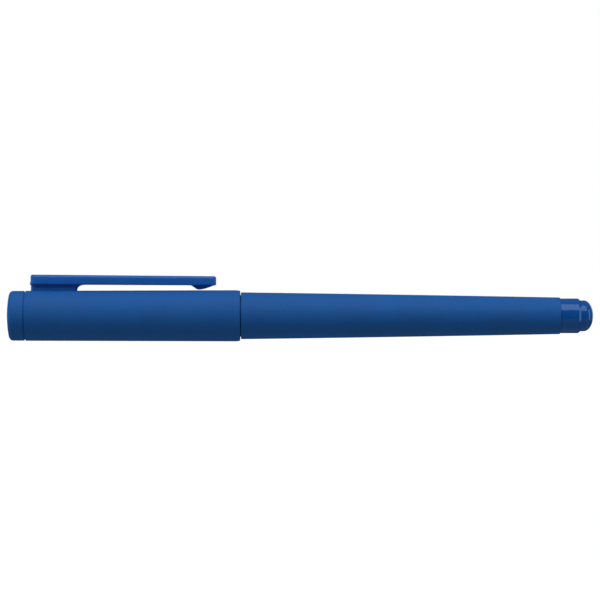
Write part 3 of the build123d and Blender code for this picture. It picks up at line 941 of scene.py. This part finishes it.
@dataclass
class PocketClip:
    """The clip: a bar with rounded edges, the web that carries it and the bump that grips."""

    finishes: Finishes
    cap: Cap
    root_gap: float = 1.45
    tip_gap: float = 1.14
    root_thickness: float = 2.38
    tip_thickness: float = 2.21
    width: float = 4.0
    edge: float = 0.7
    under_edge: float = 0.34
    end_rounding: float = 0.5
    end_lift: float = 0.4
    end_sharpness: float = 0.6
    side_rounding: float = 1.2
    web_width: float = 2.2
    web_length: float = 11.1
    web_setback: float = 0.02
    gusset: float = 1.8
    gusset_power: float = 2.2
    gusset_clearance: float = 0.05
    fillet: float = 0.22
    bump_width: float = 2.0
    bump_narrowing: float = 0.25
    bump_edge: float = 0.5
    bump_top_edge: float = 0.05
    bump_tuck: float = 0.02
    bump_gap: float = 0.17
    bump_places: tuple[float, float, float] = (38.0, 40.1, 43.8)
    bend_length: float = 9.0
    sink: float = 0.7

    def under(self, x: Array) -> Array:
        """The arm's underside: a straight line from its root gap to its tip gap over the cap.

        Args:
            x: places along the axis.

        Returns:
            Its height over the axis at each.
        """
        start, stop = low("pocket_clip"), high("pocket_clip")
        share = (x - start) / (stop - start)
        root = self.cap.radius(start + self.web_length) + self.root_gap
        tip = self.cap.radius(stop) + self.tip_gap
        return root + share * (tip - root)

    def top(self, x: Array) -> Array:
        """The arm's top: its underside plus a thickness that falls evenly to the tip.

        Args:
            x: places along the axis.

        Returns:
            Its height over the axis at each.
        """
        start, stop = low("pocket_clip"), high("pocket_clip")
        share = (x - start) / (stop - start)
        return self.under(x) + self.root_thickness + share * (self.tip_thickness - self.root_thickness)

    def arm(self) -> bpy.types.Object:
        """The bar, lofted along the pen.

        Near each end a section draws in by a rounding less the height of a quarter circle of that
        radius, with a larger rounding across the bar than over its top. Its underside rises by a
        share of that, and its edges sharpen by another share.

        Returns:
            The bar.
        """
        start, stop = low("pocket_clip"), high("pocket_clip")
        near = self.side_rounding * (1 - np.cos(np.linspace(0, np.pi / 2, 16)))
        middle = np.linspace(start + self.side_rounding, stop - self.side_rounding, 88)
        x = np.concatenate([start + near[:-1], middle, (stop - near[:-1])[::-1]])
        into = np.minimum(x - start, stop - x)
        over, across = quarter_inset(into, self.end_rounding), quarter_inset(into, self.side_rounding)
        sections = rounded_sections(
            x,
            self.width / 2 - across,
            self.under(x) + over * self.end_lift,
            self.top(x) - over,
            np.maximum(self.edge - self.end_sharpness * over, 0.1),
            np.full_like(x, self.under_edge),
        )
        return loft("clip_bar", sections)

    def web(self) -> bpy.types.Object:
        """The web, lofted upwards from inside the carrier to inside the arm.

        Each level is a stadium: straight sides with a half circle at each end. Its width flares into
        the arm by a small quarter round, and above the cap its rear end moves back along an arc.

        Returns:
            The web.
        """
        front = low("pocket_clip") + self.web_setback
        rear = front + self.web_length
        foot, ceiling = low("pocket_clip", 2), float(self.under(np.array([rear]))[0])
        floor = self.cap.radius(rear) + self.gusset_clearance
        z = np.concatenate([
            np.linspace(foot, floor, 12)[:-1],
            np.linspace(floor, ceiling, 18),
            [ceiling + self.sink],
        ])
        up = np.clip((z - floor) / (ceiling - floor), 0, 1)
        back = self.gusset * (1 - np.sqrt(np.clip(1 - up**self.gusset_power, 0, 1)))
        near = np.clip((z - (ceiling - self.fillet)) / self.fillet, 0, 1)
        flare = self.fillet * (1 - np.sqrt(np.clip(1 - near**2, 0, 1)))
        half = self.web_width / 2 + flare
        turn = np.linspace(-np.pi / 2, np.pi / 2, 13)
        ends = []
        for centre, way in ((rear + back - self.web_width / 2, 1), (front + 0 * z + self.web_width / 2, -1)):
            x = centre[:, None] + way * half[:, None] * np.cos(turn)
            y = way * half[:, None] * np.sin(turn)
            ends.append(np.stack([x, y, z[:, None] + 0 * x], axis=-1))
        return loft("clip_web", np.concatenate(ends, axis=1))

    def bump(self) -> bpy.types.Object:
        """The bump under the free end.

        Its depth eases in to the lowest place, and from there falls off by half the cube less one and
        a half times the square of the way to its end, which ends in a straight slope.

        Returns:
            The bump.
        """
        start, lowest, stop = (low("pocket_clip") + place for place in self.bump_places)
        x = np.linspace(start, stop, 40)
        onto = ease((x - start) / (lowest - start))
        away = np.clip((x - lowest) / (stop - lowest), 0, 1)
        share = np.where(x < lowest, onto, 0.5 * away**3 - 1.5 * away**2 + 1)
        depth = self.under(x) - self.cap.radius(x) - self.bump_gap
        high_side = self.under(x) + self.sink
        low_side = self.under(x) - depth * share + (1 - share) * self.bump_tuck
        half = self.bump_width / 2 - self.bump_narrowing * (1 - share)
        rounding = np.minimum(self.bump_edge, (high_side - low_side) * RUN_SHARE)
        top_edge = np.full_like(x, self.bump_top_edge)
        sections = rounded_sections(x, half, low_side, high_side, top_edge, rounding)
        return loft("clip_bump", sections)

    def build(self) -> None:
        """Builds the clip as one skin, with its placement baked into its mesh, and lets it stand for its CAD
        node.
        """
        clip = united([self.arm(), self.web(), self.bump()])
        clip.name = "clip"
        start = low("pocket_clip") + self.web_length
        line = float(self.under(np.array([start]))[0])
        bend(clip)
        stand_for(clip, "pocket_clip", self.finishes.clip)


@dataclass
class Barrel:
    """The barrel, its thread bush, the stepped tail and the spring inside it."""

    finishes: Finishes
    mouth_radius: float = 5.6
    tail_radius: float = 4.38
    fullness: float = 0.05
    fullness_at: float = 23.0
    insert_radius: float = 4.85
    bore: float = 3.6
    edge: float = 0.12
    tail_edge: float = 0.06
    tail_break: float = 0.05
    ring_radius: float = 4.16
    ring_length: float = 4.55
    ring_edge: float = 0.18
    neck_length: float = 0.47
    dome_radius: float = 3.7
    dome_length: float = 2.3
    sleeve_bore: float = 3.25
    chamber_bore: float = 2.75
    chamber_lead: float = 0.7
    end_wall: float = 2.85
    wire: float = 0.2
    coil_radius: float = 2.25
    turns: float = 6.0
    steps_per_turn: int = 40
    closed_turns: float = 0.6
    closed_pitch: float = 2.05

    def outer(self, x: Array) -> Array:
        """The barrel's outer radius: a straight taper plus a slight bow.

        The bow is the curve of the second degree that is nought at both ends, and has its stated
        fullness at its stated place.

        Args:
            x: places along the axis.

        Returns:
            The radius at each.
        """
        start, stop = low("barrel"), high("barrel")
        along = x - start
        taper = self.mouth_radius - along * (self.mouth_radius - self.tail_radius) / (stop - start)
        at, length = self.fullness_at, stop - start
        return taper + self.fullness * along * (length - along) / (at * (length - at))

    def tube(self) -> None:
        """The barrel itself, with its seat for the bush and its long bore."""
        start, stop = low("barrel"), high("barrel")
        seat = high("thread_insert")
        corners = curve(start + self.edge, stop - self.tail_edge, 60, self.outer)
        corners += [
            Corner(stop, self.tail_radius - self.tail_break, 0.03),
            Corner(stop, self.bore, 0.05),
            Corner(seat, self.bore, 0.05),
            Corner(seat, self.insert_radius, 0.05),
            Corner(start, self.insert_radius, 0.08),
            Corner(start, self.mouth_radius - self.edge * 0.7, 0.08),
        ]
        piece = lathe("barrel_tube", outline(corners), segments=192)
        settle(piece, Body.BARREL, "barrel", self.finishes.body)

    def tail(self) -> None:
        """The tail: a polished ring, a neck and a domed end, on a sleeve inside the barrel.

        The dome is a quarter of an ellipse: its radius times the cosine of an angle, at its length
        times the sine.
        """
        start, stop = high("barrel"), high("tail_plug")
        ring_end = start + self.ring_length
        neck_end = ring_end + self.neck_length
        sleeve_start = low("tail_plug")
        chamber_end = stop - self.end_wall
        chamber_start = low("refill_spring") + self.chamber_lead
        turn = np.linspace(0, np.pi / 2, 22)
        dome = stop - self.dome_length * (1 - np.sin(turn))
        rise = self.dome_radius * np.cos(turn)
        corners = [
            Corner(chamber_end, 0.0),
            Corner(chamber_end, self.chamber_bore, 0.1),
            Corner(chamber_start, self.chamber_bore, 0.05),
            Corner(chamber_start, self.sleeve_bore, 0.05),
            Corner(sleeve_start, self.sleeve_bore, 0.05),
            Corner(sleeve_start, self.bore, 0.08),
            Corner(start, self.bore, 0.02),
            Corner(start, self.ring_radius - 0.06, 0.02),
            Corner(start + 0.08, self.ring_radius, 0.06),
            Corner(ring_end - self.ring_edge, self.ring_radius, 0.14),
            Corner(neck_end - 0.12, self.dome_radius, 0.28),
        ]
        corners += through(dome, rise)
        piece = lathe("tail_end", outline(corners, closed=False), closed=False, segments=192)
        settle(piece, Body.BARREL, "tail_plug", self.finishes.gloss)

    def spring(self) -> None:
        """The spring: a helix whose pitch closes at both ends.

        The angle runs evenly, and the place along the axis is the sum of a rate that eases from the
        closed pitch, in wire radii, in the end turns to the open pitch between them.
        """
        start, stop = low("refill_spring") + self.wire, high("refill_spring") - self.wire
        turn = np.linspace(0, self.turns, int(self.turns * self.steps_per_turn))
        open_share = ease(turn - self.closed_turns) * ease(self.turns - self.closed_turns - turn)
        closed_rate = self.closed_pitch * self.wire
        step = turn[1] - turn[0]
        spare = (stop - start) - closed_rate * self.turns
        rate = closed_rate + open_share * spare / (open_share.sum() * step)
        along = np.concatenate([[0], np.cumsum((rate[1:] + rate[:-1]) / 2 * step)])
        x = start + along * (stop - start) / along[-1]
        angle = turn * 2 * np.pi
        path = np.stack([x, self.coil_radius * np.cos(angle), self.coil_radius * np.sin(angle)], axis=-1)
        piece = tube("tail_spring", path, self.wire)
        bend(piece)
        stand_for(piece, "refill_spring", self.finishes.steel)

    def build(self) -> None:
        """Builds and dresses the barrel."""
        self.tube()
        self.tail()
        self.spring()
        dress_node("thread_insert", self.finishes.brass)


@dataclass
class Section:
    """The section that the fingers hold: its grip and thread, its trim and seal, and the nose."""

    finishes: Finishes
    collar_radius: float = 5.0
    collar_length: float = 3.4
    land_radius: float = 4.75
    land_length: float = 2.4
    seal_radius: float = 4.45
    seal_wire: float = 0.55
    trim_setback: float = 1.2
    trim_width: float = 1.0
    trim_depth: float = 0.4
    trim_proud: float = 0.04
    front_radius: float = 3.5
    front_edge: float = 0.1
    front_break: float = 0.08
    waist_radius: float = 3.72
    core: float = 3.85
    bore: float = 3.25
    shank: float = 2.9
    pitch: float = 1.2
    thread_lead: float = 1.25
    thread_margin: float = 0.2
    thread_fade: float = 0.8
    thread_turns: float = 6.0
    thread_depth: float = 0.4
    thread_base: float = 0.6
    thread_crest: float = 0.3
    nose_radius: float = 1.75
    nose_bulge: float = 0.18
    nose_bore: float = 1.4
    nose_reach: float = 1.9
    nose_tip_edge: float = 0.12
    nose_rear_edge: float = 0.06
    waist_setback: float = 1.0
    stem_end_margin: float = 0.3
    plain_stem: float = 0.25

    def shoulder(self) -> float:
        """Where the collar ends and the stem starts."""
        return high("section_ring") + self.trim_setback

    def grip(self, x: Array) -> Array:
        """The grip's radius, the curve of the second degree through its front, waist and land.

        Args:
            x: places along the axis.

        Returns:
            The radius at each.
        """
        start = high("nose_cone") - self.nose_reach
        waist = high("inner_cap") + self.waist_setback
        stop = self.shoulder() - self.collar_length - self.land_length
        a, b, c = self.front_radius, self.waist_radius, self.land_radius
        first = a * (x - waist) * (x - stop) / ((start - waist) * (start - stop))
        second = b * (x - start) * (x - stop) / ((waist - start) * (waist - stop))
        third = c * (x - start) * (x - waist) / ((stop - start) * (stop - waist))
        return first + second + third

    def ridge(self, x: Array, angle: Array) -> Array:
        """How far the thread stands out of its core.

        The ridge runs round once in each pitch, so its distance from a point along the axis is that of
        the place less the pitch times the share of a turn, to the nearest whole turn. Its height is
        level over the crest and falls evenly to the base, and it fades in and out.

        Args:
            x: places along the axis.
            angle: the angle round it at each.

        Returns:
            Its height at each.
        """
        start = self.shoulder() + self.thread_lead
        stop = start + self.pitch * self.thread_turns
        turns = (x - start) / self.pitch - (angle - np.pi / 2) / (2 * np.pi)
        off = np.abs(turns - np.round(turns)) * self.pitch
        flank = (self.thread_base - self.thread_crest) / 2
        height = np.clip((self.thread_base / 2 - off) / flank, 0, 1)
        fade_in = ease((x - start + self.thread_margin) / self.thread_fade)
        fade_out = ease((stop + self.thread_margin - x) / self.thread_fade)
        return self.thread_depth * height * (fade_in * fade_out)

    def body(self) -> None:
        """The grip, the collar with its grooves, and the threaded stem behind."""
        shoulder = self.shoulder()
        collar = shoulder - self.collar_length
        land = collar - self.land_length
        seal = collar - self.land_length / 2
        groove = self.seal_radius - self.seal_wire
        trim = shoulder - self.trim_setback
        front, stem_end = low("grip_section"), high("grip_section")
        seat = high("nose_cone")
        corners = curve(front + self.front_edge, land, 30, self.grip)
        corners += [
            Corner(seal - self.seal_wire, self.land_radius, 0.08),
            Corner(seal - self.seal_wire, groove, 0.05),
            Corner(seal + self.seal_wire, groove, 0.05),
            Corner(seal + self.seal_wire, self.land_radius, 0.08),
            Corner(collar, self.land_radius, 0.05),
            Corner(collar, self.collar_radius, 0.12),
            Corner(trim - self.trim_width, self.collar_radius, 0.04),
            Corner(trim - self.trim_width, self.collar_radius - self.trim_depth, 0.03),
            Corner(trim, self.collar_radius - self.trim_depth, 0.03),
            Corner(trim, self.collar_radius, 0.04),
            Corner(shoulder, self.collar_radius, 0.1),
            Corner(shoulder, self.core, 0.08),
        ]
        margin = self.stem_end_margin
        corners += curve(shoulder + margin, stem_end - margin, 200, lambda x: np.full_like(x, self.core))
        corners += [
            Corner(stem_end, self.core - 0.15, 0.05),
            Corner(stem_end, self.bore, 0.05),
            Corner(seat, self.bore, 0.05),
            Corner(seat, self.shank, 0.0),
            Corner(front, self.shank, 0.05),
            Corner(front, self.front_radius - self.front_break, 0.03),
        ]
        piece = lathe("grip", outline(corners), segments=128, raise_by=self.thread_only)
        settle(piece, Body.SECTION, "grip_section", self.finishes.gloss)

    def thread_only(self, x: Array, angle: Array) -> Array:
        """The ridge behind the shoulder, and nothing in front of it."""
        return np.where(x > self.shoulder() + self.plain_stem, self.ridge(x, angle), 0.0)

    def nose(self) -> None:
        """The metal nose: a cone with a slight belly, a rolled tip and the shank behind."""
        start, seat = low("nose_cone"), high("nose_cone")
        rear = low("grip_section")

        def side(x: Array) -> Array:
            """The straight line from tip to rear plus a belly that is fullest half way.

            Args:
                x: places along the axis.

            Returns:
                The radius at each.
            """
            share = (x - start) / (rear - start)
            line = self.nose_radius + share * (self.front_radius - self.nose_radius)
            return line + self.nose_bulge * 4 * share * (1 - share)

        corners = curve(start + self.nose_tip_edge, rear - self.nose_rear_edge, 24, side)
        corners += [
            Corner(rear, self.front_radius - 0.05, 0.02),
            Corner(rear, self.shank, 0.03),
            Corner(seat, self.shank, 0.08),
            Corner(seat, self.nose_bore, 0.05),
            Corner(start, self.nose_bore, 0.12),
            Corner(start, self.nose_radius, 0.12),
        ]
        piece = lathe("nose", outline(corners), segments=128)
        settle(piece, Body.SECTION, "nose_cone", self.finishes.bright)

    def trim(self) -> None:
        """The bright ring on the collar, with softened edges."""
        start, stop = low("section_ring"), high("section_ring")
        outer, inner = self.collar_radius + self.trim_proud, self.collar_radius - self.trim_depth
        corners = [
            Corner(start, inner, 0.03),
            Corner(start, outer, 0.08),
            Corner((start + stop) / 2, outer, 0.0),
            Corner(stop, outer, 0.08),
            Corner(stop, inner, 0.03),
        ]
        piece = lathe("trim_ring", outline(corners), segments=160)
        settle(piece, Body.SECTION, "section_ring", self.finishes.bright)

    def seal(self) -> None:
        """The rubber ring: a round wire bent into a circle."""
        middle = (low("cap_seal_ring") + high("cap_seal_ring")) / 2
        radius = (high("cap_seal_ring") - low("cap_seal_ring")) / 2
        centre = high("cap_seal_ring", 2) - radius
        angle = np.linspace(0, 2 * np.pi, 40, endpoint=False)
        ring = np.stack([middle + radius * np.cos(angle), centre + radius * np.sin(angle)], axis=-1)
        piece = lathe("seal_ring", ring, segments=160)
        settle(piece, Body.SECTION, "cap_seal_ring", self.finishes.rubber)

    def build(self) -> None:
        """Builds and dresses the section."""
        self.body()
        self.nose()
        self.trim()
        self.seal()


@dataclass
class Refill:
    """The refill: tube, fibre, feed rod, nose, metal point and ball."""

    finishes: Finishes
    ball_radius: float = 0.35
    ball_show: float = 0.18
    ball_clearance: float = 0.015
    rim: float = 0.07
    cone_end: float = 2.3
    cone_radius: float = 0.95
    collar_radius: float = 1.15
    shank_radius: float = 0.85
    feed_radius: float = 0.45
    channel: float = 0.2
    bore_start: float = 1.7
    collar_end: float = 4.4
    seat_turn: tuple[float, float] = (0.6, 2.0)
    fine_run: float = 0.4

    def point(self) -> None:
        """The metal point: a cone that holds the ball, a collar, and the shank in the nose.

        The socket is part of a circle about the ball's middle: its radius times the cosine of an
        angle along the axis, and times the sine across it.
        """
        shank_end = high("refill_point")
        socket = self.ball_radius + self.ball_clearance
        opening = math.sqrt(socket**2 - (self.ball_radius - self.ball_show) ** 2)
        deepest = self.ball_radius + math.sqrt(socket**2 - self.channel**2)
        corners = [
            Corner(self.ball_show, opening, 0.0),
            Corner(self.ball_show, self.ball_radius + self.rim, 0.02),
            Corner(self.cone_end, self.cone_radius, 0.1),
            Corner(self.cone_end, self.collar_radius, 0.06),
            Corner(self.collar_end, self.collar_radius, 0.05),
            Corner(self.collar_end, self.shank_radius, 0.03),
            Corner(shank_end, self.shank_radius, 0.05),
            Corner(shank_end, self.feed_radius, 0.03),
            Corner(self.bore_start, self.feed_radius, 0.03),
            Corner(self.bore_start, self.channel, 0.02),
            Corner(deepest, self.channel, 0.0),
        ]
        turn = np.linspace(*self.seat_turn, 10)[1:-1]
        seat = through(self.ball_radius + socket * np.cos(turn), socket * np.sin(turn))
        piece = lathe("metal_point", outline(corners + seat, longest=self.fine_run), segments=96)
        settle(piece, Body.REFILL, "refill_point", self.finishes.point)

    def ball(self) -> None:
        """The ball: half circles of points from pole to pole."""
        angle = np.linspace(0, np.pi, 33)
        arc = np.stack([self.ball_radius * (1 - np.cos(angle)), self.ball_radius * np.sin(angle)], axis=-1)
        piece = lathe("writing_ball", arc, closed=False, segments=64)
        settle(piece, Body.BALL, "refill_ball", self.finishes.ball)

    def build(self) -> None:
        """Builds and dresses the refill."""
        self.point()
        self.ball()
        dress_node("refill_tube", self.finishes.tube)
        dress_node("refill_reservoir", self.finishes.fibre)
        dress_node("refill_feed_rod", self.finishes.fibre)
        dress_node("refill_tip_holder", self.finishes.black)
        dress_node("refill_end_plug", self.finishes.black)


# ---- the studio ---------------------------------------------------------------------------------


@dataclass(frozen=True)
class SoftBox:
    """A soft lamp that faces the pen's middle, with its sizes in metres and its angles in degrees.

    Its size is along the pen and across it. Its glow is how bright it looks, where white paper in
    full light is one. Its rise is from the level on the camera's side over the top, and its turn is
    from the camera's side round towards the tail.
    """

    name: str
    size: tuple[float, float]
    reach: float
    rise: float
    glow: float
    turn: float = 0.0
    colour: Colour = (0.62, 0.82, 1.0)

    def hang(self, middle: float) -> None:
        """Hangs the lamp. Its power is its glow times pi times its area.

        Args:
            middle: the pen's middle along its axis, in metres.
        """
        data = bpy.data.lights.new(self.name, "AREA")
        data.shape, data.size, data.size_y = "RECTANGLE", self.size[0], self.size[1]
        data.energy = self.glow * math.pi * self.size[0] * self.size[1]
        data.color = self.colour
        lamp = bpy.data.objects.new(self.name, data)
        up, round_by = math.radians(self.rise), math.radians(self.turn)
        level = math.cos(up)
        away = Vector((level * math.sin(round_by), -level * math.cos(round_by), math.sin(up)))
        lamp.location = away * self.reach + Vector((middle, 0, 0))
        lamp.rotation_euler = away.to_track_quat("Z", "Y").to_euler()
        lamp.visible_camera = False
        bpy.context.scene.collection.objects.link(lamp)


LAMPS = (
    SoftBox("key_light", (1.4, 0.646), 0.8, 60.0, 2.3),
    SoftBox("bounce", (2.0, 1.4), 0.5, -75.0, 0.29, colour=(0.5, 0.8, 1.0)),
    SoftBox("sky", (2.0, 1.0), 0.9, 112.0, 0.15),
    SoftBox("rear", (1.6, 0.4), 0.9, 175.0, 1.3),
    SoftBox("tail_side", (0.24, 0.46), 0.6, 5.0, 1.7, turn=92.0),
    SoftBox("crown_side", (0.24, 0.46), 0.6, 5.0, 1.7, turn=-92.0),
)


@dataclass
class Studio:
    """A pale floor, soft light all round and a camera square to the pen's side."""

    view_width: float = 143.36
    view_centre: tuple[float, float] = (50.085, 3.77)
    distance: float = 800.0
    farthest: float = 20.0
    sensor: float = 36.0
    floor_width: float = 6000.0
    floor_gap: float = 0.02
    ambient: float = 0.05

    def camera(self) -> None:
        """A long lens level with the pen, as wide as the view at the pen's axis."""
        data = bpy.data.cameras.new("camera")
        data.sensor_width = self.sensor
        data.lens = self.sensor * self.distance / self.view_width
        data.clip_end = self.farthest
        view = bpy.data.objects.new("camera", data)
        view.location = (self.view_centre[0] * MM, -self.distance * MM, self.view_centre[1] * MM)
        view.rotation_euler = (math.pi / 2, 0, 0)
        bpy.context.scene.collection.objects.link(view)
        bpy.context.scene.camera = view

    def floor(self) -> None:
        """A wide white floor just under the pen; the bounce light stands for what it sends back."""
        half = self.floor_width / 2 * MM
        level = CAD_BOX[0][2] - self.floor_gap * MM
        corners = [(x * half, y * half, level) for x, y in ((-1, -1), (1, -1), (1, 1), (-1, 1))]
        mesh = bpy.data.meshes.new("floor")
        mesh.from_pydata(corners, [], [(0, 1, 2, 3)])
        floor = bpy.data.objects.new("floor", mesh)
        bpy.context.scene.collection.objects.link(floor)
        n = Nodes("pale_floor")
        mottle = n.noise(n.place(), 0.05, 3.0)
        tone = n.blend(n.between(mottle, 0.3, 0.7, 0.0, 1.0), (0.985, 0.985, 0.985), (1.0, 1.0, 1.0))
        n.surface(Base_Color=(0.02, 0.02, 0.02), Roughness=0.9, Emission_Color=tone, Emission_Strength=1.0)
        dress(floor, n.material)
        floor.visible_diffuse = False
        floor.visible_glossy = False
        floor.visible_shadow = False

    def world(self) -> None:
        """A white room for the camera, and a dim one for the light that reaches the pen."""
        world = bpy.data.worlds.new("room")
        bpy.context.scene.world = world
        world.use_nodes = True
        tree = world.node_tree
        back = tree.nodes["Background"]
        back.inputs["Color"].default_value = (1, 1, 1, 1)
        path = tree.nodes.new("ShaderNodeLightPath")
        level = tree.nodes.new("ShaderNodeMapRange")
        level.inputs["To Min"].default_value = self.ambient
        level.inputs["To Max"].default_value = 1.0
        tree.links.new(path.outputs["Is Camera Ray"], level.inputs["Value"])
        tree.links.new(level.outputs["Result"], back.inputs["Strength"])

    def build(self) -> None:
        """Sets the scene round the pen."""
        self.camera()
        self.floor()
        self.world()
        for lamp in LAMPS:
            lamp.hang(self.view_centre[0] * MM)
        bpy.context.scene.view_settings.view_transform = "Standard"


def main() -> None:
    """Builds every sub-assembly in order, then the studio."""
    logging.basicConfig(level=logging.INFO, format="%(name)s %(message)s")
    finishes = Finishes.made()
    cap = Cap(finishes)
    cap.build()
    PocketClip(finishes, cap).build()
    Barrel(finishes).build()
    Section(finishes).build()
    Refill(finishes).build()
    Studio().build()


if __name__ == "__main__":
    main()
